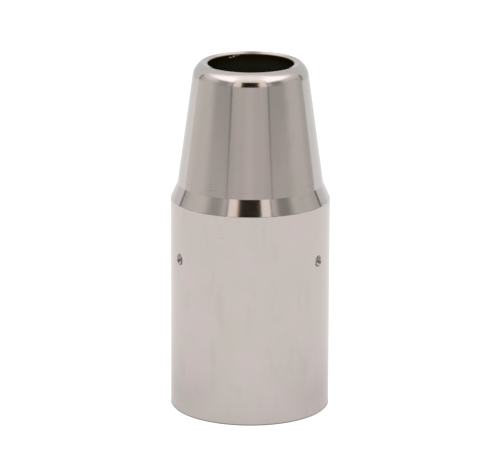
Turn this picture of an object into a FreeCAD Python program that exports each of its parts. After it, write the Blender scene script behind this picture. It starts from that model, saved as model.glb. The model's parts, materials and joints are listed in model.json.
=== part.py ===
import FreeCAD, Part
import math
import os

# Screw-on gas nozzle for a welding torch: a plated shell, a moulded insulating sleeve that is
# staked into it, and a threaded insert that the sleeve is moulded round.
# Millimetres. The origin is at the centre of the base, and +Z runs up the axis to the gas outlet.

# Thread and the walls around it, from the axis outwards
thread_diameter = 18.0
thread_pitch = 1.5
thread_depth_per_pitch = 0.5413
insert_wall = 0.75
sleeve_wall = 1.45
skirt_wall = 1.5
skirt_relief = 0.3
fit_clearance = 0.05

# Heights, from the base upwards
skirt_depth = 8.0
lip_thickness = 2.0
lip_clearance = 0.3
insert_length = 17.5
flange_thickness = 1.5
shoulder_above_seat = 5.5
shoulder_length = 2.55
nose_length = 19.65

# Gas passage and nose
mouth_diameter = 13.8
mouth_land = 4.0
lip_dish = 0.2
crest_diameter = 15.6
crest_rounding = 0.4
nose_radius = 3.0
nose_taper = 7.8
seat_width = 2.0
chamber_length = 7.5
shoulder_step = 1.12

# Edges
base_edge_break = 0.2
skirt_lead_in = 0.5
lip_lead_in = 0.9

# Stakes: the shell's wall is punched in, so each has a crater outside and a boss inside
stake_count = 3
stake_below_seat = 3.3
stake_diameter = 1.9
stake_floor_diameter = 1.0
stake_depth = 0.45
first_stake_angle = -30.0

# Flutes that lock the insert in the sleeve that is moulded round it
flute_count = 6
flute_width = 2.4
flute_depth = 0.35
flute_length = 4.5

# Radii that follow from the sizes above
mouth_radius = mouth_diameter / 2
crest_radius = crest_diameter / 2
thread_major_radius = thread_diameter / 2
thread_minor_radius = thread_major_radius - thread_depth_per_pitch * thread_pitch
lip_radius = thread_major_radius + lip_clearance
insert_radius = thread_major_radius + insert_wall
sleeve_bore_radius = insert_radius + fit_clearance
sleeve_radius = sleeve_bore_radius + sleeve_wall
skirt_radius = sleeve_radius + fit_clearance
relief_radius = skirt_radius + skirt_relief
body_radius = skirt_radius + skirt_wall
chamber_radius = skirt_radius - seat_width
shoulder_top_radius = body_radius - shoulder_step
nose_top_radius = shoulder_top_radius - nose_length * math.tan(math.radians(nose_taper))
crest_arc_radius = min(crest_rounding, (nose_top_radius - crest_radius) / 2)

# Heights that follow from the sizes above
insert_base = skirt_depth + lip_thickness
insert_top = insert_base + insert_length
seat_height = insert_top + flange_thickness
stake_height = seat_height - stake_below_seat
shoulder_base = seat_height + shoulder_above_seat
shoulder_top = shoulder_base + shoulder_length
overall_length = shoulder_top + nose_length
mouth_height = overall_length - lip_dish
chamber_top = seat_height + chamber_length


inwards = FreeCAD.Vector(-1, 0, 0)
outwards = FreeCAD.Vector(1, 0, 0)
axis_foot = FreeCAD.Vector(0, 0, 0)
upwards = FreeCAD.Vector(0, 0, 1)


def at(radius, height):
    return FreeCAD.Vector(radius, 0, height)


def turned(edges):
    """A solid of revolution from the closed outline of its section, drawn in the XZ plane."""
    face = Part.Face(Part.Wire(edges))
    return face.revolve(axis_foot, upwards, 360)


def straight_run(points):
    return [Part.LineSegment(a, b).toShape() for a, b in zip(points, points[1:])]


def arc_point(centre, radius, angle):
    return centre + at(radius * math.cos(angle), radius * math.sin(angle))


def arc(centre, radius, start, end):
    middle = (start + end) / 2
    points = [arc_point(centre, radius, angle) for angle in (start, middle, end)]
    return Part.Arc(*points).toShape()


def nose_arc_centre(taper, crest_centre):
    """Centre of the arc that touches the taper outside and runs into the crest's rounding."""
    slope = math.tan(taper)
    foot = shoulder_top_radius + shoulder_top * slope - nose_radius / math.cos(taper)
    offset = foot - crest_centre.x
    a = 1 + slope ** 2
    b = -2 * (offset * slope + crest_centre.z)
    c = offset ** 2 + crest_centre.z ** 2 - (nose_radius - crest_arc_radius) ** 2
    height = (-b - math.sqrt(b * b - 4 * a * c)) / (2 * a)
    return at(foot - slope * height, height)


def dish_tilt(crest_centre, mouth_edge):
    """How steeply the dished face rises from the mouth's edge to touch the crest's rounding."""
    to_crest = crest_centre - mouth_edge
    return math.atan2(to_crest.z, to_crest.x) + math.asin(crest_arc_radius / to_crest.Length)


def shell_blank():
    """The turned shell: skirt and body, shoulder, tapered nose, dished lip and gas passage."""
    taper = math.radians(nose_taper)
    mouth_edge = at(mouth_radius, mouth_height)
    crest_centre = at(crest_radius, overall_length - crest_arc_radius)
    nose_centre = nose_arc_centre(taper, crest_centre)
    to_crest = crest_centre - nose_centre
    blend = math.atan2(to_crest.z, to_crest.x)
    dish_start = math.pi / 2 + dish_tilt(crest_centre, mouth_edge)
    outside = straight_run([
        at(relief_radius + skirt_lead_in, 0),
        at(body_radius - base_edge_break, 0),
        at(body_radius, base_edge_break),
        at(body_radius, shoulder_base),
        at(shoulder_top_radius, shoulder_top),
        arc_point(nose_centre, nose_radius, taper),
    ])
    lip = [
        arc(nose_centre, nose_radius, taper, blend),
        arc(crest_centre, crest_arc_radius, blend, dish_start),
    ]
    inside = straight_run([
        arc_point(crest_centre, crest_arc_radius, dish_start),
        mouth_edge,
        at(mouth_radius, mouth_height - mouth_land),
        at(chamber_radius, chamber_top),
        at(chamber_radius, seat_height),
        at(skirt_radius, seat_height),
        at(skirt_radius, skirt_depth),
        at(relief_radius, skirt_depth),
        at(relief_radius, skirt_lead_in),
        at(relief_radius + skirt_lead_in, 0),
    ])
    return turned(outside + lip + inside)


def crater():
    """The tapered, flat-bottomed mark that a stake's punch leaves in the body, at azimuth zero."""
    spread = (stake_diameter - stake_floor_diameter) / 2 / stake_depth
    above = skirt_wall / 2
    mouth = stake_diameter / 2 + spread * above
    start = at(body_radius + above, stake_height)
    return Part.makeCone(mouth, stake_floor_diameter / 2, stake_depth + above, start, inwards)


def dome():
    """The ball whose cap is the metal that a stake pushes out of the skirt's inner wall."""
    ball_radius = (stake_diameter ** 2 / 4 + stake_depth ** 2) / (2 * stake_depth)
    return Part.makeSphere(ball_radius, at(skirt_radius - stake_depth + ball_radius, stake_height))


def pocket():
    """The round pocket in the sleeve that holds a stake's boss."""
    floor = at(skirt_radius - stake_depth - fit_clearance, stake_height)
    return Part.makeCylinder(stake_diameter / 2 + fit_clearance, skirt_wall, floor, outwards)


def staked(shape):
    """One copy of a stake's shape at each stake."""
    copies = []
    for number in range(stake_count):
        copy = shape.copy()
        copy.rotate(axis_foot, upwards, first_stake_angle + number * 360 / stake_count)
        copies.append(copy)
    return Part.makeCompound(copies)


def bar(radius, low, high):
    return Part.makeCylinder(radius, high - low, at(0, low))


def nozzle_shell():
    """The turned shell with its stakes: a boss inside and a crater outside for each."""
    bosses = staked(dome()).common(bar(skirt_radius + skirt_wall / 2, 0, seat_height))
    return shell_blank().fuse(bosses).cut(staked(crater())).removeSplitter()


def insert_envelope(clearance):
    """The outside of the insert, or with a clearance the hollow that the sleeve keeps for it."""
    return bar(insert_radius + clearance, insert_base, insert_top).cut(flute_ring(clearance))


def flute_ring(clearance):
    """Rounded flutes round the insert's lower end, which keep it from turning in the sleeve."""
    round_radius = (flute_width ** 2 / 4 + flute_depth ** 2) / (2 * flute_depth)
    distance = insert_radius - flute_depth + round_radius
    height = flute_length - clearance
    flutes = []
    for number in range(flute_count):
        angle = math.radians(number * 360 / flute_count)
        foot = FreeCAD.Vector(distance * math.cos(angle), distance * math.sin(angle), insert_base)
        flutes.append(Part.makeCylinder(round_radius - clearance, height, foot))
    return Part.makeCompound(flutes)


def insulating_sleeve():
    """The sleeve: a lip below the insert, a flange above it, and a pocket for each stake."""
    lip_bore = bar(lip_radius, skirt_depth, insert_base)
    lead_in = Part.makeCone(lip_radius + lip_lead_in, lip_radius, lip_lead_in, at(0, skirt_depth))
    flange_bore = bar(chamber_radius, insert_top, seat_height)
    sleeve = bar(sleeve_radius, skirt_depth, seat_height).cut(insert_envelope(fit_clearance))
    return sleeve.cut(lip_bore).cut(lead_in).cut(flange_bore).cut(staked(pocket()))


def threaded_insert():
    """The insert, its bore at the thread's minor diameter and countersunk where the neck enters."""
    depth = thread_major_radius - thread_minor_radius
    countersink = Part.makeCone(thread_major_radius, thread_minor_radius, depth, at(0, insert_base))
    bore = bar(thread_minor_radius, insert_base, insert_top)
    return insert_envelope(0.0).cut(bore).cut(countersink)


def main():
    os.makedirs("parts", exist_ok=True)
    pieces = {
        "nozzle_shell": nozzle_shell(),
        "insulating_sleeve": insulating_sleeve(),
        "threaded_insert": threaded_insert(),
    }
    for name, shape in pieces.items():
        shape.exportStep("parts/" + name + ".step")
        print(name, len(shape.Solids), "solid", round(shape.Volume, 1), "mm3")


main()
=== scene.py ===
# Looks of a welding gas nozzle: a plated shell over an insulating sleeve and a threaded brass insert,
# stood in a white light tent. Sizes in the dictionaries are millimetres unless a note says otherwise.
import json
import math

import bmesh
import bpy
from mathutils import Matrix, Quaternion, Vector


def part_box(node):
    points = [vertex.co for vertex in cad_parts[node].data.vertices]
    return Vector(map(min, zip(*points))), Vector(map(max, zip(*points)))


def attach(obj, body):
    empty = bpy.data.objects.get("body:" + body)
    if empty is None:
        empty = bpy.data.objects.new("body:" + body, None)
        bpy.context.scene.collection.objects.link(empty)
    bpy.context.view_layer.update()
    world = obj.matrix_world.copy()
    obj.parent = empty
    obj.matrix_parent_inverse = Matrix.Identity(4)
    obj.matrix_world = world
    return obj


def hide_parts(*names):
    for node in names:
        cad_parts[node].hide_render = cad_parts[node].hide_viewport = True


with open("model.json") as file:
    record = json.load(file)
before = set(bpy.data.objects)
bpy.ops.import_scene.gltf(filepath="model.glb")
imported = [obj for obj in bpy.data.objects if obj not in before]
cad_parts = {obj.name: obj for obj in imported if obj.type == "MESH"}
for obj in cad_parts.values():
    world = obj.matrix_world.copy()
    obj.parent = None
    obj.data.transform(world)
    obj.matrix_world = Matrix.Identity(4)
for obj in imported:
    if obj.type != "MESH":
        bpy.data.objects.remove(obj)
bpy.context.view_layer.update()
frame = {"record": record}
mm = 0.001
mounts = {mount["name"]: mount for mount in frame["record"]["mounts"]}


def mountRadius(name):
    return mounts[name]["dims"]["r_mm"]


def lowOf(node):
    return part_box(node)[0].z / mm


def highOf(node):
    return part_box(node)[1].z / mm


def radiusOf(node):
    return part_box(node)[1].x / mm


# Node trees: maths is written on wires, and every other node comes from Board.add

def forward(operation):
    return lambda wire, other: wire.board.maths(operation, wire, other)


def reflected(operation):
    return lambda wire, other: wire.board.maths(operation, other, wire)


class Wire:
    # a socket that arithmetic can be written on
    __add__, __radd__ = forward("ADD"), reflected("ADD")
    __sub__, __rsub__ = forward("SUBTRACT"), reflected("SUBTRACT")
    __mul__, __rmul__ = forward("MULTIPLY"), reflected("MULTIPLY")
    __truediv__, __rtruediv__ = forward("DIVIDE"), reflected("DIVIDE")
    __pow__, __gt__, __lt__ = forward("POWER"), forward("GREATER_THAN"), forward("LESS_THAN")

    def __init__(self, board, socket):
        self.board = board
        self.socket = socket

    def out(self, name):
        return Wire(self.board, self.socket.node.outputs[name])

    def of(self, operation, *others):
        return self.board.maths(operation, self, *others)


class Board:
    # a node tree, and the one way that nodes go on it
    def __init__(self, tree):
        self.tree = tree
        tree.nodes.clear()

    def feed(self, socket, value):
        if isinstance(value, Wire):
            self.tree.links.new(value.socket, socket)
        elif socket.type == "RGBA":
            socket.default_value = (*value, 1.0)
        else:
            socket.default_value = value

    def add(self, kind, settings=(), sockets=(), output=0):
        node = self.tree.nodes.new(kind)
        for name, value in dict(settings).items():
            setattr(node, name, value)
        for name, value in dict(sockets).items():
            self.feed(node.inputs[name], value)
        return Wire(self, node.outputs[output]) if len(node.outputs) else node

    def maths(self, operation, *values):
        return self.add("ShaderNodeMath", {"operation": operation}, dict(enumerate(values)))

    def mixed(self, amount, first, second):
        return self.add("ShaderNodeMix", {"data_type": "RGBA"}, {0: amount, 6: first, 7: second}, 2)

    def eased(self, value, low, high):
        return self.add("ShaderNodeMapRange", {"interpolation_type": "SMOOTHSTEP"},
                        {"Value": value, "From Min": low, "From Max": high})

    def band(self, value, low, high, softness):
        # 1 between low and high, with soft ends
        rise = self.eased(value, low - softness, low + softness)
        return rise * self.eased(value, high + softness, high - softness)

    def axes(self, vector):
        split = self.add("ShaderNodeSeparateXYZ", sockets={0: vector})
        return split.out("X"), split.out("Y"), split.out("Z")

    def joined(self, x, y, z):
        return self.add("ShaderNodeCombineXYZ", sockets={0: x, 1: y, 2: z})

    def noise(self, place, scale, detail=2.0, roughness=0.5):
        return self.add("ShaderNodeTexNoise",
                        sockets={"Vector": place, "Scale": scale, "Detail": detail, "Roughness": roughness})


def newMaterial(name):
    material = bpy.data.materials.new(name)
    material.use_nodes = True
    return material, Board(material.node_tree)


def objectPlace(board):
    # object coordinates in millimetres
    place = board.add("ShaderNodeTexCoord", output="Object")
    return board.add("ShaderNodeVectorMath", {"operation": "SCALE"}, {0: place, "Scale": 1 / mm})


# Outlines of turned parts, as points (radius, height)

arcStep = math.radians(6)
guard = 0.04  # a point this far from each arc keeps the flat beside it truly flat in shading


def arcPoints(centre, radius, start, end):
    steps = max(3, math.ceil(abs(end - start) / arcStep))
    angles = [start + (end - start) * step / steps for step in range(steps + 1)]
    return [centre + radius * Vector((math.cos(angle), math.sin(angle))) for angle in angles]


def fillet(before, corner, after, rounding):
    into = (before - corner).normalized()
    away = (after - corner).normalized()
    turn = math.pi - into.angle(away)
    reach = rounding * math.tan(turn / 2)
    centre = corner + (into + away).normalized() * rounding / math.cos(turn / 2)
    first = corner + into * reach - centre
    last = corner + away * reach - centre
    start = math.atan2(first.y, first.x)
    sweep = (math.atan2(last.y, last.x) - start + math.pi) % (2 * math.pi) - math.pi
    arc = arcPoints(centre, rounding, start, start + sweep)
    return [arc[0] + into * guard, *arc, arc[-1] + away * guard]


def outlineFrom(corners):
    # closed outline through corners (radius, height, rounding); a rounding of 0 is a plain point
    points = []
    count = len(corners)
    for index, (radius, height, rounding) in enumerate(corners):
        corner = Vector((radius, height))
        before = Vector(corners[index - 1][:2])
        after = Vector(corners[(index + 1) % count][:2])
        points += fillet(before, corner, after, rounding) if rounding else [corner]
    return points


# Geometry Nodes: a lathe with optional flutes, and a helical thread

flutes = {"count": 6, "width": 2.4, "depth": 0.35, "length": 4.5}
guideRadius = 10  # of the circle that the lathe sweeps an outline along


def newTree(name, inputs):
    tree = bpy.data.node_groups.new(name, "GeometryNodeTree")
    tree.interface.new_socket(name="Geometry", in_out="OUTPUT", socket_type="NodeSocketGeometry")
    for label, kind in inputs.items():
        tree.interface.new_socket(name=label, in_out="INPUT", socket_type="NodeSocket" + kind)
    board = Board(tree)
    return board, board.add("NodeGroupInput")


def finishTree(board, shape, finish):
    real = board.add("GeometryNodeRealizeInstances", sockets={"Geometry": shape})
    coated = board.add("GeometryNodeSetMaterial", sockets={"Geometry": real, "Material": finish})
    board.add("NodeGroupOutput", sockets={0: coated})
    return board.tree


def runTree(name, tree, values, points=(), closed=True):
    # evaluates the tree on an outline drawn in the XZ plane, and keeps the result as a plain mesh
    vertices = [(point.x * mm, 0, point.y * mm) for point in points]
    edges = [(index, index + 1) for index in range(len(points) - 1)]
    if points and closed:
        edges.append((len(points) - 1, 0))
    outline = bpy.data.meshes.new(name + "Outline")
    outline.from_pydata(vertices, edges, [])
    holder = bpy.data.objects.new(name + "Outline", outline)
    bpy.context.scene.collection.objects.link(holder)
    modifier = holder.modifiers.new("shape", "NODES")
    modifier.node_group = tree
    for item in tree.interface.items_tree:
        if item.in_out == "INPUT" and item.name in values:
            modifier[item.identifier] = values[item.name]
    made = bpy.data.meshes.new_from_object(holder.evaluated_get(bpy.context.evaluated_depsgraph_get()))
    bpy.data.objects.remove(holder)
    made.name = name
    return made


def fluteDepthAt(board, angle, wall, count, depth, width):
    # how far the round-bottomed flutes cut in at a wall point
    roundRadius = (width * width / 4 + depth * depth) / (2 * depth)
    halfTurn = math.pi / count
    across = angle.of("WRAP", halfTurn, -1 * halfTurn) * wall
    cut = depth - roundRadius + (roundRadius * roundRadius - across * across).of("MAXIMUM", 0.0).of("SQRT")
    return cut.of("MAXIMUM", 0.0)


def latheTree():
    board, given = newTree("lathe", {
        "Geometry": "Geometry", "Segments": "Int", "Guide Radius": "Float", "Flute Count": "Float",
        "Flute Wall": "Float", "Flute Depth": "Float", "Flute Width": "Float",
        "Flute Low": "Float", "Flute High": "Float", "Finish": "Material"})
    guide = given.out("Guide Radius")
    x, y, z = board.axes(board.add("GeometryNodeInputPosition"))
    outline = board.add("GeometryNodeMeshToCurve", sockets={"Mesh": given.out("Geometry")})
    laid = board.add("GeometryNodeSetPosition",
                     sockets={"Geometry": outline, "Position": board.joined(x - guide, 0 - z, 0.0)})
    circle = board.add("GeometryNodeCurvePrimitiveCircle", {"mode": "RADIUS"},
                       {"Resolution": given.out("Segments"), "Radius": guide})
    turned = board.add("GeometryNodeCurveToMesh", sockets={"Curve": circle, "Profile Curve": laid})
    radius = (x * x + y * y).of("SQRT")
    wall = given.out("Flute Wall")
    cut = fluteDepthAt(board, y.of("ARCTAN2", x), wall, given.out("Flute Count"),
                       given.out("Flute Depth"), given.out("Flute Width"))
    onWall = (radius > wall - 0.1 * mm) * (radius < wall + 0.1 * mm)
    onWall = onWall * (z > given.out("Flute Low")) * (z < given.out("Flute High"))
    narrowed = 1 - cut * onWall / radius
    grooved = board.joined(x * narrowed, y * narrowed, z)
    fluted = board.add("GeometryNodeSetPosition", sockets={"Geometry": turned, "Position": grooved})
    return finishTree(board, fluted, given.out("Finish"))


def turn(name, points, segments, finish, fluteWall=1.0, fluteLow=1.0, fluteHigh=1.0, closed=True):
    values = {
        "Segments": segments, "Guide Radius": guideRadius * mm, "Flute Count": float(flutes["count"]),
        "Flute Wall": fluteWall * mm, "Flute Depth": flutes["depth"] * mm,
        "Flute Width": flutes["width"] * mm, "Flute Low": fluteLow * mm, "Flute High": fluteHigh * mm,
        "Finish": finish}
    return runTree(name, latheTree(), values, points, closed)


def addPiece(name, mesh, nodes):
    piece = bpy.data.objects.new(name, mesh)
    bpy.context.scene.collection.objects.link(piece)
    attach(piece, "root")
    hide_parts(*nodes)
    print(name, len(mesh.polygons), "faces")
    return piece


# Stakes: the lathe's square cells round each punch mark give way to a round patch

stakes = {
    "count": 3, "firstAngle": -30.0, "belowSeat": 3.3,
    "markRadius": 0.95, "floorRadius": 0.5, "depth": 0.45,
    "halfPatch": 8,     # cells from the middle of a patch to its border
    "patchRadius": 1.45,  # outermost round ring of a patch, inside its square border
    "clearance": 0.05,  # between a boss and its pocket in the sleeve
}
segments = 384
bodyRadius = radiusOf("nozzle_shell")
cell = 2 * math.pi * bodyRadius / segments
seatHeight = highOf("insulating_sleeve")
stakeHeight = seatHeight - stakes["belowSeat"]


def stakeRows(radius, upwards):
    # heights at which a staked wall has points, so that a patch fits between them
    reach = stakes["halfPatch"]
    steps = range(-reach, reach + 1)
    heights = [stakeHeight + step * cell for step in steps]
    return [(radius, height, 0) for height in (heights if upwards else reversed(heights))]


def craterDepth(distance):
    # tapered punch mark with a flat floor
    taper = (stakes["markRadius"] - distance) / (stakes["markRadius"] - stakes["floorRadius"])
    return stakes["depth"] * min(max(taper, 0), 1)


def bossDepth(distance):
    # round-topped boss that the punch pushes out of the inner wall
    ball = (stakes["markRadius"] ** 2 + stakes["depth"] ** 2) / (2 * stakes["depth"])
    return max(0, math.sqrt(max(ball ** 2 - distance ** 2, 0)) - (ball - stakes["depth"]))


def pocketDepth(distance):
    inside = distance < stakes["markRadius"] + stakes["clearance"]
    return stakes["depth"] if inside else 0


def stakePatch(shape, wall, angle, rings, depthAt):
    # rings are distances from the patch's middle, from the outside inwards
    width = (stakes["halfPatch"] + 0.1) * cell * wall / bodyRadius
    height = (stakes["halfPatch"] + 0.1) * cell

    def flat(point):
        turned = (math.atan2(point.y, point.x) - angle + math.pi) % (2 * math.pi) - math.pi
        return Vector((turned * wall, point.z / mm - stakeHeight))

    def onPatch(point):
        place = flat(point)
        return (abs(place.x) < width and abs(place.y) < height
                and abs(math.hypot(point.x, point.y) / mm - wall) < 0.01)

    def raised(spoke, distance):
        turned = angle + distance * math.cos(spoke) / wall
        radius = (wall - depthAt(distance)) * mm
        height = (stakeHeight + distance * math.sin(spoke)) * mm
        return shape.verts.new((radius * math.cos(turned), radius * math.sin(turned), height))

    cells = [face for face in shape.faces if all(onPatch(vertex.co) for vertex in face.verts)]
    bmesh.ops.delete(shape, geom=cells, context="FACES")
    border = [vertex for vertex in shape.verts if vertex.is_boundary]
    spokes = sorted((math.atan2(flat(vertex.co).y, flat(vertex.co).x), vertex) for vertex in border)
    loop = [vertex for _, vertex in spokes]
    for distance in rings:
        inner = [raised(spoke, distance) for spoke, _ in spokes]
        for index in range(len(loop)):
            shape.faces.new((loop[index - 1], loop[index], inner[index], inner[index - 1]))
        loop = inner
    middle = raised(0, 0)
    for index in range(len(loop)):
        shape.faces.new((loop[index - 1], loop[index], middle))


def ringsRound(edges, first):
    # rings that crowd round each edge of a mark, so that it is crisp with a small rounding
    spread = 0.03
    near = [edge + step * spread for edge in edges for step in (1, 0, -1)]
    return [first, *near]


def stakeWall(mesh, wall, rings, depthAt):
    shape = bmesh.new()
    shape.from_mesh(mesh)
    for number in range(stakes["count"]):
        angle = math.radians(stakes["firstAngle"] + number * 360 / stakes["count"])
        stakePatch(shape, wall, angle, rings, depthAt)
    bmesh.ops.recalc_face_normals(shape, faces=shape.faces)
    shape.to_mesh(mesh)
    shape.free()


# The plated shell

shell = {
    "shoulderAboveSeat": 5.5, "shoulderLength": 2.55, "shoulderStep": 1.12,
    "noseTaper": 7.8, "noseRadius": 3.0, "crestRadius": 7.8, "crestRounding": 0.4, "lipDish": 0.2,
    "chamberLength": 7.5, "seatWidth": 2.0, "baseBreak": 0.2, "leadIn": 0.5, "skirtWall": 1.5,
    "crispEdge": 0.08, "shoulderEdge": 0.4, "shoulderHollow": 0.3, "chamberEdge": 0.3, "mouthEdge": 0.1,
}
skirt = mounts["neck_skirt"]
skirtDepth = skirt["pos_m"][2] / mm + skirt["dims"]["length_mm"] / 2
skirtRadius = bodyRadius - shell["skirtWall"]
overall = highOf("nozzle_shell")
mouthRadius = mountRadius("gas_outlet")
mouthHeight = overall - shell["lipDish"]
shoulderBase = seatHeight + shell["shoulderAboveSeat"]
shoulderTop = shoulderBase + shell["shoulderLength"]
shoulderTopRadius = bodyRadius - shell["shoulderStep"]
chamberRadius = skirtRadius - shell["seatWidth"]


def noseArcs():
    # from the dished face over the lip's crest to the taper: a small rounding runs into the nose radius
    big, small = shell["noseRadius"], shell["crestRounding"]
    taper = math.radians(shell["noseTaper"])
    slope = math.tan(taper)
    crest = Vector((shell["crestRadius"], overall - small))
    foot = shoulderTopRadius + shoulderTop * slope - big / math.cos(taper)
    offset = foot - crest.x
    a = 1 + slope ** 2
    b = -2 * (offset * slope + crest.y)
    c = offset ** 2 + crest.y ** 2 - (big - small) ** 2
    height = (-b - math.sqrt(b * b - 4 * a * c)) / (2 * a)
    noseCentre = Vector((foot - slope * height, height))
    toCrest = crest - noseCentre
    blend = math.atan2(toCrest.y, toCrest.x)
    rise = crest - Vector((mouthRadius, mouthHeight))
    dish = math.atan2(rise.y, rise.x) + math.asin(small / rise.length)
    lip = arcPoints(crest, small, math.pi / 2 + dish, blend)
    nose = arcPoints(noseCentre, big, blend, taper)
    insideLip = lip[0] - guard * Vector((math.cos(dish), math.sin(dish)))
    belowNose = nose[-1] + guard * Vector((math.sin(taper), -math.cos(taper)))
    return [insideLip, *lip, *nose[1:], belowNose]


def shellOutline():
    crisp = shell["crispEdge"]
    relief = mountRadius("neck_skirt")
    landLow = mounts["gas_outlet"]["pos_m"][2] / mm - mounts["gas_outlet"]["dims"]["length_mm"] / 2
    corners = [
        *[(point.x, point.y, 0) for point in noseArcs()],
        (shoulderTopRadius, shoulderTop, shell["shoulderHollow"]),
        (bodyRadius, shoulderBase, shell["shoulderEdge"]),
        *stakeRows(bodyRadius, upwards=False),
        (bodyRadius, shell["baseBreak"], crisp),
        (bodyRadius - shell["baseBreak"], 0, crisp),
        (relief + shell["leadIn"], 0, crisp),
        (relief, shell["leadIn"], crisp),
        (relief, skirtDepth, crisp),
        (skirtRadius, skirtDepth, crisp),
        *stakeRows(skirtRadius, upwards=True),
        (skirtRadius, seatHeight, crisp),
        (chamberRadius, seatHeight, crisp),
        (chamberRadius, seatHeight + shell["chamberLength"], shell["chamberEdge"]),
        (mouthRadius, landLow, shell["chamberEdge"]),
        (mouthRadius, mouthHeight, shell["mouthEdge"]),
    ]
    return outlineFrom(corners)


turningLine = {"height": 38.05, "breaks": 0.55}
boreGlint = {"left": -3.6, "right": -2.1, "top": -0.05, "foot": 0.24, "slope": 0.25}  # painted highlight: a rough pale patch just inside the mouth
plating = {
    "green": (0.606, 0.562, 0.521), "rosy": (0.634, 0.558, 0.544), "dulled": (0.55, 0.50, 0.475),
    "pit": (0.30, 0.26, 0.235), "scored": (0.33, 0.28, 0.25), "stakeShade": (0.26, 0.235, 0.215),
    "smudge": (0.53, 0.455, 0.405), "lip": (0.40, 0.29, 0.235), "boreGlint": (0.86, 0.78, 0.68),
    # the bore colours on the next line are painted shade: dark in the bore, darkest near the mouth
    "boreShadeDark": (0.15, 0.15, 0.105), "boreShadePale": (0.23, 0.222, 0.155), "mouthShade": (0.078, 0.055, 0.015),
    "gloss": 0.085, "boreRoughness": 0.34,
}
smudges = [
    # middle across and up, half width and height, strength; on the side that faces the camera
    (-4.4, 19.6, 0.9, 4.2, 0.30),
    (-5.6, 11.4, 0.7, 2.6, 0.22),
    (8.9, 8.6, 1.1, 2.8, 0.24),
    (2.4, 31.6, 0.5, 1.8, 0.16),
    (-1.3, 5.2, 0.6, 1.6, 0.16),
    (-4.0, 30.9, 0.4, 0.10, 0.60),
]


def smudgeAt(board, place, across, up, halfWidth, halfHeight, strength):
    # a soft, ragged patch where the plating has been rubbed
    x, y, z = board.axes(place)
    ragged = (board.noise(board.joined(x, y, z * 0.5), 1.1, 3.0, 0.6) - 0.5) * 1.5
    distance = (((x - across) / halfWidth) ** 2.0 + ((z - up) / halfHeight) ** 2.0).of("SQRT") + ragged
    return board.eased(distance, 1.25, 0.25) * (y < 0.0) * strength


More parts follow.
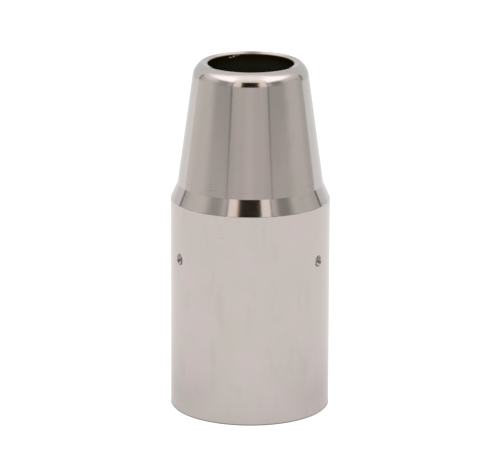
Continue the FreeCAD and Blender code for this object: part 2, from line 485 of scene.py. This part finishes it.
def platedFinish():
    # bright nickel: warm, with faint turning marks, soft stains and a few pits; dull in the bore, which is
    # darkened with painted shade, with a painted highlight inside the mouth, a painted warm reflection
    # round its edge and painted shade in the punch marks
    material, board = newMaterial("platedShell")
    place = objectPlace(board)
    x, y, z = board.axes(place)
    radius = (x * x + y * y).of("SQRT")
    wallMiddle = (shoulderTopRadius + chamberRadius) / 2
    boreSlope = (wallMiddle - mouthRadius) / (mouthHeight - shoulderTop)
    boreEdge = mouthRadius + 0.02 + boreSlope * (mouthHeight - z)  # inside the wall's metal at each height
    boreEdge = boreEdge.of("MINIMUM", bodyRadius - shell["skirtWall"] / 2 + 0.1)
    inSkirt = board.eased(z, skirtDepth + 4, skirtDepth + 1)  # the skirt's inside is plated too
    outside = board.eased(radius - boreEdge, -0.05, 0.05).of("MAXIMUM", inSkirt)
    stains = board.noise(place, 0.16, 3.0, 0.55)
    blotches = board.noise(board.joined(x, y, z * 0.45), 0.42, 4.0, 0.6)
    tint = board.mixed(board.eased(stains, 0.35, 0.65), plating["green"], plating["rosy"])
    dulled = board.mixed(board.eased(blotches, 0.52, 0.72) * 0.35, tint, plating["dulled"])
    pitCells = board.add("ShaderNodeTexVoronoi", sockets={"Vector": place, "Scale": 0.9})
    chosen = board.axes(pitCells.out("Color"))[0] > 0.8
    pits = board.eased(pitCells.out("Distance"), 0.075, 0.03) * chosen
    pitted = board.mixed(pits * 0.5, dulled, plating["pit"])
    line = board.band(z, turningLine["height"], turningLine["height"] + 0.05, 0.06)
    broken = board.eased(board.noise(board.joined(x, y, 0.0), turningLine["breaks"], 2.0), 0.50, 0.58)
    edgeLine = board.band(z, shoulderBase - 0.03, shoulderBase + 0.07, 0.05)
    worn = board.eased(board.noise(board.joined(x, y, 7.0), 1.2, 3.0, 0.6), 0.46, 0.60)
    scratches = (line * broken * 0.6 + edgeLine * worn * 0.5) * outside
    scored = board.mixed(scratches, pitted, plating["scored"])
    halfTurn = math.pi / stakes["count"]
    angle = (y.of("ARCTAN2", x) - math.radians(stakes["firstAngle"])).of("WRAP", halfTurn, -halfTurn)
    fromStake = ((angle * bodyRadius) ** 2.0 + (z - stakeHeight) ** 2.0).of("SQRT")
    # painted shade in and round each punch mark, broken up by noise
    stakeShade = board.eased(fromStake, stakes["markRadius"] + 0.1, stakes["markRadius"] - 0.15)
    stakeShade = stakeShade * (0.55 + 0.45 * board.eased(board.noise(place, 2.4, 2.0), 0.4, 0.6))
    smeared = board.mixed(stakeShade * outside, scored, plating["stakeShade"])
    for smudge in smudges:
        smeared = board.mixed(smudgeAt(board, place, *smudge) * outside, smeared, plating["smudge"])
    # painted shade: the bore is coloured dark, and darkest just below the mouth
    paintedBoreColour = board.mixed(board.eased(stains, 0.3, 0.7), plating["boreShadeDark"], plating["boreShadePale"])
    nearMouth = board.eased(z, mouthHeight - 2.2, mouthHeight - 0.4)
    paintedBoreColour = board.mixed(nearMouth, paintedBoreColour, plating["mouthShade"])
    # painted highlight: a ragged pale patch inside the back of the mouth, made less metallic so that it
    # catches the light
    ragged = board.eased(board.noise(board.joined(x * 2.0, y, z * 3.0), 1.6, 3.0, 0.7), 0.44, 0.56)
    boreGlintLine = mouthHeight - boreGlint["slope"] * (boreGlint["right"] - x) - z  # it runs down to the left
    onBoreGlint = board.band(x, boreGlint["left"], boreGlint["right"], 0.3) * (y > 0.0)
    onBoreGlint = onBoreGlint * board.band(boreGlintLine, boreGlint["top"], boreGlint["foot"], 0.08) * ragged
    paintedBoreColour = board.mixed(onBoreGlint, paintedBoreColour, plating["boreGlint"])
    # painted reflection: a warm brown tint round the mouth's inner edge
    lipReflection = board.eased(radius, mouthRadius + 0.28, mouthRadius + 0.05)
    lipReflection = lipReflection * board.eased(z, mouthHeight - 0.5, mouthHeight)
    colour = board.mixed(outside, paintedBoreColour, board.mixed(lipReflection * 0.7, smeared, plating["lip"]))
    turning = board.noise(board.joined(x * 0.25, y * 0.25, z * 9.0), 1.0, 3.0, 0.6)
    grain = board.noise(place, 3.0, 2.0)
    gloss = plating["gloss"] + 0.05 * blotches + 0.02 * turning
    rough = gloss * outside + (1 - outside) * plating["boreRoughness"]
    relief = turning * 0.7 + grain * 0.15 - pits * 1.5
    bump = board.add("ShaderNodeBump", sockets={"Strength": 0.05, "Distance": 0.02 * mm, "Height": relief})
    metal = board.add("ShaderNodeBsdfPrincipled", sockets={
        "Base Color": colour, "Metallic": 1 - 0.9 * onBoreGlint, "Roughness": rough, "Normal": bump})
    board.add("ShaderNodeOutputMaterial", sockets={"Surface": metal})
    return material


def makeShell():
    mesh = turn("nozzleShell", shellOutline(), segments, platedFinish())
    crater = ringsRound((stakes["markRadius"], stakes["floorRadius"]), stakes["patchRadius"])
    boss = [stakes["patchRadius"], 1.05, 0.98]  # two rings keep the wall flat round the boss
    boss += [stakes["markRadius"] * step / 6 for step in range(6, 0, -1)]
    stakeWall(mesh, bodyRadius, crater, craterDepth)
    stakeWall(mesh, skirtRadius, boss, bossDepth)
    mesh.shade_smooth()
    return addPiece("nozzleShell", mesh, ["nozzle_shell"])


# The insulating sleeve

sleeve = {
    "lipClearance": 0.3, "lipLeadIn": 0.9, "fitClearance": 0.05, "edge": 0.12, "hiddenEdge": 0.05,
}
sleeveBase = lowOf("insulating_sleeve")
insertBase = lowOf("threaded_insert")
insertTop = highOf("threaded_insert")
insertRadius = radiusOf("threaded_insert")
threadMajor = 9.0  # half the thread's outside diameter


def sleeveOutline():
    outer = radiusOf("insulating_sleeve")
    lip = threadMajor + sleeve["lipClearance"]
    bore = insertRadius + sleeve["fitClearance"]
    fluteTop = insertBase + flutes["length"] - sleeve["fitClearance"]
    edge, hidden = sleeve["edge"], sleeve["hiddenEdge"]
    return outlineFrom([
        (outer, seatHeight, hidden),
        *stakeRows(outer, upwards=False),
        (outer, sleeveBase, edge),
        (lip + sleeve["lipLeadIn"], sleeveBase, edge),
        (lip, sleeveBase + sleeve["lipLeadIn"], edge),
        (lip, insertBase, edge),
        (bore, insertBase, 0),
        (bore, insertBase + 0.01, 0),
        (bore, fluteTop, 0),
        (bore, fluteTop + 0.02, 0),
        (bore, insertTop, 0),
        (lip, insertTop, hidden),
        (lip, seatHeight, hidden),
    ])


moulding = {"dark": (0.075, 0.042, 0.029), "pale": (0.118, 0.068, 0.047), "fibre": (0.21, 0.15, 0.11)}


def mouldedFinish():
    # dark glass-filled plastic: matte, with fine fibres and a faint flow of paler streaks
    material, board = newMaterial("mouldedSleeve")
    place = objectPlace(board)
    x, y, z = board.axes(place)
    flow = board.noise(board.joined(x, y, z * 0.35), 0.5, 4.0, 0.6)
    fibre = board.noise(board.joined(x * 1.4, y * 1.4, z * 5.0), 2.2, 3.0, 0.65)
    base = board.mixed(board.eased(flow, 0.35, 0.7), moulding["dark"], moulding["pale"])
    colour = board.mixed(board.eased(fibre, 0.58, 0.72) * 0.4, base, moulding["fibre"])
    bump = board.add("ShaderNodeBump", sockets={
        "Strength": 0.25, "Distance": 0.03 * mm, "Height": fibre + board.noise(place, 7.0, 2.0) * 0.5})
    plastic = board.add("ShaderNodeBsdfPrincipled", sockets={
        "Base Color": colour, "Roughness": 0.5 + 0.2 * fibre, "Normal": bump})
    board.add("ShaderNodeOutputMaterial", sockets={"Surface": plastic})
    return material


def makeSleeve():
    mesh = turn("insulatingSleeve", sleeveOutline(), segments, mouldedFinish(),
                fluteWall=insertRadius + sleeve["fitClearance"], fluteLow=insertBase - 0.005,
                fluteHigh=insertBase + flutes["length"] - sleeve["fitClearance"] + 0.01)
    pocketWall = stakes["markRadius"] + stakes["clearance"]
    rings = [1.3, pocketWall + 0.02, pocketWall, pocketWall - 0.002, pocketWall - 0.04, 0.5]
    stakeWall(mesh, radiusOf("insulating_sleeve"), rings, pocketDepth)
    mesh.shade_smooth()
    mesh.set_sharp_from_angle(angle=math.radians(35))
    return addPiece("insulatingSleeve", mesh, ["insulating_sleeve"])


# The threaded insert

thread = {
    "pitch": 1.5, "segments": 192,
    "rows": 16,       # rows of points for each pitch
    "rootRows": 1.0,  # half the flat at the thread's root, in rows
    "crestRows": 6.0,  # where the flank reaches the crest, in rows from the middle of the root
}


def threadTree():
    # a grid rolled into the bore: its rows follow the helix, and both ends are clamped flat
    board, given = newTree("thread", {
        "Pitch": "Float", "Crest Radius": "Float", "Root Radius": "Float", "Low": "Float", "High": "Float",
        "Turns": "Int", "Segments": "Int", "Rows": "Int", "Finish": "Material"})
    low, high, pitch = given.out("Low"), given.out("High"), given.out("Pitch")
    crest, root = given.out("Crest Radius"), given.out("Root Radius")
    turns = given.out("Turns")
    grid = board.add("GeometryNodeMeshGrid", sockets={
        "Size X": 1.0, "Size Y": 1.0, "Vertices X": given.out("Segments") + 1,
        "Vertices Y": turns * given.out("Rows") + 1})
    u, v, _ = board.axes(board.add("GeometryNodeInputPosition"))
    around = u + 0.5
    level = (v + 0.5) * turns
    height = (low + pitch * (level - 1 + around)).of("MAXIMUM", low).of("MINIMUM", high)
    phase = (level * given.out("Rows")).of("ROUND").of("MODULO", given.out("Rows"))
    fromRoot = phase.of("MINIMUM", given.out("Rows") - phase)
    crestRows, rootRows = thread["crestRows"], thread["rootRows"]
    cut = ((crestRows - fromRoot) / (crestRows - rootRows)).of("MAXIMUM", 0.0).of("MINIMUM", 1.0)
    helix = crest + (root - crest) * cut
    lowerSink = root - (height - low)
    upperSink = root - (high - height)
    radius = helix.of("MAXIMUM", lowerSink).of("MAXIMUM", upperSink)
    angle = around * (2 * math.pi)
    onHelix = board.joined(radius * angle.of("COSINE"), radius * angle.of("SINE"), height)
    rolled = board.add("GeometryNodeSetPosition", sockets={"Geometry": grid, "Position": onHelix})
    return finishTree(board, rolled, given.out("Finish"))


brass = {"bright": (0.80, 0.62, 0.33), "stained": (0.70, 0.51, 0.25), "root": (0.42, 0.29, 0.14)}


def brassFinish():
    # machined brass: warm satin, turning marks that follow the lathe, and painted shade darkening the
    # thread's root
    material, board = newMaterial("brassInsert")
    place = objectPlace(board)
    x, y, z = board.axes(place)
    radius = (x * x + y * y).of("SQRT")
    stains = board.noise(place, 0.45, 3.0, 0.6)
    turning = board.noise(board.joined(x * 0.4, y * 0.4, z * 14.0), 1.0, 3.0, 0.6)
    tint = board.mixed(board.eased(stains, 0.35, 0.7), brass["bright"], brass["stained"])
    # painted shade: darker towards the thread's root
    rootShade = board.eased(radius, mountRadius("neck_thread") + 0.35, threadMajor) * 0.45
    colour = board.mixed(rootShade, tint, brass["root"])
    bump = board.add("ShaderNodeBump", sockets={"Strength": 0.12, "Distance": 0.03 * mm, "Height": turning})
    metal = board.add("ShaderNodeBsdfPrincipled", sockets={
        "Base Color": colour, "Metallic": 1.0, "Roughness": 0.2 + 0.14 * turning, "Normal": bump})
    board.add("ShaderNodeOutputMaterial", sockets={"Surface": metal})
    return material


def makeInsert():
    finish = brassFinish()
    values = {
        "Pitch": thread["pitch"] * mm, "Crest Radius": mountRadius("neck_thread") * mm,
        "Root Radius": threadMajor * mm, "Low": insertBase * mm, "High": insertTop * mm,
        "Turns": math.ceil((insertTop - insertBase) / thread["pitch"]) + 1,
        "Segments": thread["segments"], "Rows": thread["rows"], "Finish": finish}
    bore = runTree("insertThread", threadTree(), values)
    fluteTop = insertBase + flutes["length"]
    outline = [Vector(point) for point in (
        (threadMajor, insertTop), (insertRadius, insertTop), (insertRadius, fluteTop + 0.02),
        (insertRadius, fluteTop), (insertRadius, insertBase), (threadMajor, insertBase))]
    mesh = turn("threadedInsert", outline, thread["segments"], finish, fluteWall=insertRadius,
                fluteLow=insertBase - 0.01, fluteHigh=fluteTop + 0.01, closed=False)
    shape = bmesh.new()
    shape.from_mesh(mesh)
    shape.from_mesh(bore)
    bmesh.ops.remove_doubles(shape, verts=shape.verts, dist=0.001 * mm)
    bmesh.ops.recalc_face_normals(shape, faces=shape.faces)
    shape.to_mesh(mesh)
    shape.free()
    mesh.shade_smooth()
    mesh.set_sharp_from_angle(angle=math.radians(25))
    return addPiece("threadedInsert", mesh, ["threaded_insert"])


# The light tent that the metal reflects, in metres; its walls don't show themselves

tent = {
    "halfWidth": 0.20, "front": -0.286, "back": 0.115, "roof": 0.41, "floorReach": 2.5, "seam": 0.006,
    "holeLeft": -0.083, "holeRight": 0.097, "holeLow": 0.086, "holeHigh": 0.249, "holeEdge": 0.004,
    "foldHeight": 0.072, "foldAt": 0.100, "foldWidth": 0.0055,  # in each side wall, near its back corner
}


shine = {  # how strongly each part of the tent glows
    "frontFoot": 0.68, "frontUpper": 1.06, "sideFront": 0.57, "sideBack": 0.71, "sideMiddle": 0.56,
    "sideOuter": 0.74, "sideDark": 0.40, "sideTop": 1.62, "back": 0.90, "lipPatch": 0.42,
    "roof": 0.83, "roofFront": 0.43, "roofSides": 0.3,
}
seamDepth = 0.85  # how dark a seam is


def lightWall(name, corners, material):
    mesh = bpy.data.meshes.new(name)
    mesh.from_pydata(corners, [], [range(len(corners))])
    mesh.materials.append(material)
    wall = bpy.data.objects.new(name, mesh)
    bpy.context.scene.collection.objects.link(wall)
    wall.visible_camera = False
    return wall


def tentMaterial(name, paint):
    # paint takes the board and the coordinates in metres, and gives a colour and a strength
    material, board = newMaterial(name)
    x, y, z = board.axes(board.add("ShaderNodeTexCoord", output="Object"))
    colour, strength = paint(board, x, y, z)
    glow = board.add("ShaderNodeEmission", sockets={"Color": colour, "Strength": strength})
    board.add("ShaderNodeOutputMaterial", sockets={"Surface": glow})
    return material


def frontPaint(board, x, y, z):
    # lit from above, with the hole that the camera looks through and its warm edge
    aside = x.of("ABSOLUTE")
    rise = board.eased(z, 0.06, 0.15)
    high = board.band(z, tent["holeLow"], tent["holeHigh"], tent["holeEdge"])
    hole = board.band(x, tent["holeLeft"], tent["holeRight"], tent["holeEdge"]) * high
    facing = board.band(z, 0.200, 0.237, 0.004)  # the heights that the shoulder looks at; the nose sees all
    rim = board.band(x, tent["holeLeft"] - 0.013, tent["holeLeft"], tent["holeEdge"])
    rim = rim * high * (0.4 + 0.6 * facing)
    lamp = board.band(x, tent["holeRight"] - 0.016, tent["holeRight"], tent["holeEdge"])
    lamp = lamp * high * (1 - facing)
    corner = tent["halfWidth"] - tent["seam"] * (1.5 - 0.5 * (x > 0.0))
    seam = board.eased(aside, corner - 0.002, corner)
    seam = seam * board.eased(z, 0.035, 0.065) * board.eased(z, 0.33, 0.28)
    above = board.band(z, 0.25, 0.33, 0.02) * board.eased(aside, 0.13, 0.05)
    beside = board.eased(aside, 0.175, 0.195) * board.band(z, 0.18, 0.27, 0.02)
    low = shine["frontFoot"] - 0.06 * board.eased(aside, 0.0, 0.07) - 0.05 * board.eased(aside, 0.10, 0.17)
    colour = board.mixed(rise, (1.0, 0.97, 0.95), (1.0, 0.955, 0.89))
    colour = board.mixed(rim, colour, (0.55, 0.24, 0.07))
    colour = board.mixed(hole, colour, (1.0, 0.66, 0.30))
    colour = board.mixed(lamp, colour, (1.0, 0.60, 0.22))
    upper = shine["frontUpper"] + 0.12 * board.eased(z, 0.24, 0.29) - 0.20 * above
    strength = low * (1 - rise) + upper * rise
    depth = (0.98 + 0.018 * facing) * (1 - 0.55 * lamp)
    return colour, strength * (1 - depth * hole) * (1 - seamDepth * seam) * (1 - 0.27 * beside)


def sidePaint(board, x, y, z):
    # even low down; above, dark beside the front corner and brightest under the roof
    right = x > 0.0
    wobble = (board.noise(board.joined(0.0, 0.0, z), 22.0) - 0.5) * 0.012
    far = board.eased(y, 0.02, 0.08)
    nearFront = shine["sideFront"] - 0.10 * board.eased(z, 0.038, 0.054) - 0.06 * board.eased(z, 0.06, 0.09)
    low = nearFront + (shine["sideBack"] - 0.04 * right - nearFront) * board.eased(y, -0.105, -0.03)
    low = low + (0.06 - 0.16 * right - 0.19 * (1 - right) * board.eased(z, 0.04, 0.07)) * far
    dark = board.band(y, -0.205, -0.10 + 0.01 * right, 0.03)
    farther = board.eased(y, -0.11, -0.02)
    outer = shine["sideOuter"] - 0.12 * right + 0.2 * board.eased(z, 0.105, 0.14)
    outer = outer - (0.12 - 0.09 * right) * far
    high = (shine["sideMiddle"] * (1 - farther) + outer * farther) * (1 - dark)
    high = high + (shine["sideDark"] - 0.10 * right) * dark
    edge = 0.155 + 0.33 * (-0.08 - y).of("MAXIMUM", 0.0)  # how high the wall turns bright
    top = board.eased(z - edge, 0.0, 0.06) * board.eased(y + (z - 0.25) * 0.5, 0.08, -0.05)
    upper = board.eased(z, 0.085, 0.115)
    strength = low * (1 - upper) + (high * (1 - top) + shine["sideTop"] * top) * upper
    seam = board.eased(y + wobble, tent["front"] + tent["seam"] * 1.4, tent["front"] + tent["seam"])
    seam = seam * board.eased(z, 0.33, 0.28)
    fold = y + 0.25 * (1 - right) * (z - tent["foldHeight"]) - (tent["foldAt"] + 0.015 * right)
    fold = board.band(fold, -tent["foldWidth"], tent["foldWidth"], 0.003)
    fold = fold * board.band(z, 0.057, 0.145, 0.008)
    colour = board.mixed(top, (1.0, 0.99, 0.96), (1.0, 1.0, 1.04))
    return colour, strength * (1 - seamDepth * seam) * (1 - 0.9 * fold)


def backPaint(board, x, y, z):
    # brightest at its foot, with a seam up its right corner and a lit patch that the lip reflects
    fold = board.eased(x, tent["halfWidth"] - 0.024, tent["halfWidth"] - 0.014)
    fold = fold * board.band(z, 0.050, 0.125, 0.008)
    strength = shine["back"] - 0.14 * board.eased(z, 0.028, 0.046) + 0.06 * board.eased(x, -0.10, -0.17)
    patch = board.band(z, 0.121, 0.165, 0.006) * board.eased(x.of("ABSOLUTE"), 0.035, 0.025)
    gap = board.band(x, -0.0068, -0.0012, 0.0015) * board.band(z, 0.134, 0.165, 0.004)
    colour = board.mixed(patch, (0.96, 0.99, 1.0), (1.0, 0.985, 0.92))
    colour = board.mixed(gap, colour, (1.0, 0.80, 0.74))
    return colour, (strength + shine["lipPatch"] * patch) * (1 - seamDepth * fold) * (1 - 0.75 * gap)


def roofPaint(board, x, y, z):
    # bright over its front half, and most towards the sides
    strip = board.eased(y, -0.01, -0.11)
    sides = board.eased(x.of("ABSOLUTE"), 0.07, 0.2)
    return (0.99, 0.99, 1.0), shine["roof"] + strip * (shine["roofFront"] + shine["roofSides"] * sides)


def makeTent():
    w, f, b, r = tent["halfWidth"], tent["front"], tent["back"], tent["roof"]
    front = tentMaterial("tentFront", frontPaint)
    back = tentMaterial("tentBack", backPaint)
    side = tentMaterial("tentSide", sidePaint)
    roof = tentMaterial("tentRoof", roofPaint)
    lightWall("tentFront", [(-w, f, 0), (w, f, 0), (w, f, r), (-w, f, r)], front)
    lightWall("tentBack", [(w, b, 0), (-w, b, 0), (-w, b, r), (w, b, r)], back)
    lightWall("tentLeft", [(-w, b, 0), (-w, f, 0), (-w, f, r), (-w, b, r)], side)
    lightWall("tentRight", [(w, f, 0), (w, b, 0), (w, b, r), (w, f, r)], side)
    lightWall("tentRoof", [(-w, f, r), (w, f, r), (w, b, r), (-w, b, r)], roof)


floorLight = {
    "reflected": 0.80, "shade": 0.11, "sideShade": 0.16, "footShadowLine": 0.6,  # painted shade: all less near the object
    "shownMore": 0.18, "shadeShown": 0.13,  # added where the camera looks at the floor itself
    "fromBelow": 0.8, "cloth": 0.16,
}


def floorFinish():
    # white to the camera and in reflections, with the object's own shadow kept and painted shade round its
    # foot and beneath it;
    # clear from below, and under the object it lights the bore
    material, board = newMaterial("tentFloor")
    x, y, z = board.axes(objectPlace(board))
    away = (x * x + y * y).of("SQRT") - bodyRadius
    contactShade = (-0.07 * away.of("MAXIMUM", 0.0)).of("EXPONENT")  # painted shade that dims the reflections low on the body
    # under the object the glow is cut, a painted shadow for the camera and reflections
    under = board.eased(away, 0.0, -0.6)
    rays = board.add("ShaderNodeLightPath")
    camera, glossy = rays.out("Is Camera Ray"), rays.out("Is Glossy Ray")
    seen = (camera + glossy + rays.out("Is Transmission Ray")).of("MINIMUM", 1.0)
    # painted shadow line right at the object's foot, seen in reflections
    line = (-4.0 * away.of("MAXIMUM", 0.0)).of("EXPONENT")
    aside = contactShade * board.eased(x.of("ABSOLUTE"), 10.0, 24.0)  # painted shade, more so beside it
    shadeInReflections = (floorLight["footShadowLine"] * line + floorLight["sideShade"] * aside) * glossy
    level = (floorLight["reflected"] - floorLight["shade"] * contactShade - shadeInReflections) * (1 - under)
    level = level + (floorLight["shownMore"] + floorLight["shadeShown"] * contactShade) * camera
    fromBelow = floorLight["fromBelow"] * under * (1 - camera)
    glow = board.add("ShaderNodeEmission", sockets={
        "Color": (1.0, 1.0, 1.0), "Strength": seen * level + fromBelow})
    plain = board.add("ShaderNodeBsdfDiffuse", sockets={"Color": (floorLight["cloth"],) * 3})
    floor = board.add("ShaderNodeAddShader", sockets={0: glow, 1: plain})
    clear = board.add("ShaderNodeBsdfTransparent")
    underside = board.add("ShaderNodeNewGeometry", output="Backfacing")
    board.add("ShaderNodeOutputMaterial", sockets={
        "Surface": board.add("ShaderNodeMixShader", sockets={0: underside, 1: floor, 2: clear})})
    return material


def makeFloor():
    reach = tent["floorReach"]
    mesh = bpy.data.meshes.new("floor")
    corners = [(-reach, -reach, 0), (reach, -reach, 0), (reach, reach, 0), (-reach, reach, 0)]
    mesh.from_pydata(corners, [], [range(4)])
    mesh.materials.append(floorFinish())
    floor = bpy.data.objects.new("floor", mesh)
    bpy.context.scene.collection.objects.link(floor)


def makeWorld():
    world = bpy.data.worlds.new("studio")
    world.use_nodes = True
    board = Board(world.node_tree)
    white = board.add("ShaderNodeBackground", sockets={"Color": (1.0, 1.0, 1.0), "Strength": 1.0})
    board.add("ShaderNodeOutputWorld", sockets={"Surface": white})
    bpy.context.scene.world = world
    bpy.context.scene.view_settings.view_transform = "Standard"


# The camera, fitted to the outline in the photograph

cameraSet = {
    "azimuth": 1.65, "elevation": 15.408, "roll": 0.203,  # degrees
    "distance": 588.6, "lens": 263.03, "sensor": 36.0,
    "targetHeight": 28.16, "aimUp": 1.587, "aimRight": -0.039,
}


def makeCamera():
    azimuth, elevation = math.radians(cameraSet["azimuth"]), math.radians(cameraSet["elevation"])
    back = Vector((math.sin(azimuth) * math.cos(elevation), -math.cos(azimuth) * math.cos(elevation),
                   math.sin(elevation)))
    right = Vector((math.cos(azimuth), math.sin(azimuth), 0))
    target = Vector((0, 0, cameraSet["targetHeight"]))
    place = target + back * cameraSet["distance"]
    aim = target + back.cross(right) * cameraSet["aimUp"] + right * cameraSet["aimRight"]
    camera = bpy.data.objects.new("camera", bpy.data.cameras.new("camera"))
    bpy.context.scene.collection.objects.link(camera)
    camera.data.lens = cameraSet["lens"]
    camera.data.sensor_width = cameraSet["sensor"]
    camera.data.clip_start = 0.01
    camera.data.clip_end = 10.0
    camera.rotation_mode = "QUATERNION"
    camera.location = place * mm
    turnedTo = (aim - place).to_track_quat("-Z", "Y")
    camera.rotation_quaternion = turnedTo @ Quaternion((0, 0, 1), math.radians(cameraSet["roll"]))
    bpy.context.scene.camera = camera


makeCamera()
makeWorld()
makeTent()
makeFloor()
print("stage ready")
makeShell()
makeSleeve()
makeInsert()
print("pieces ready")
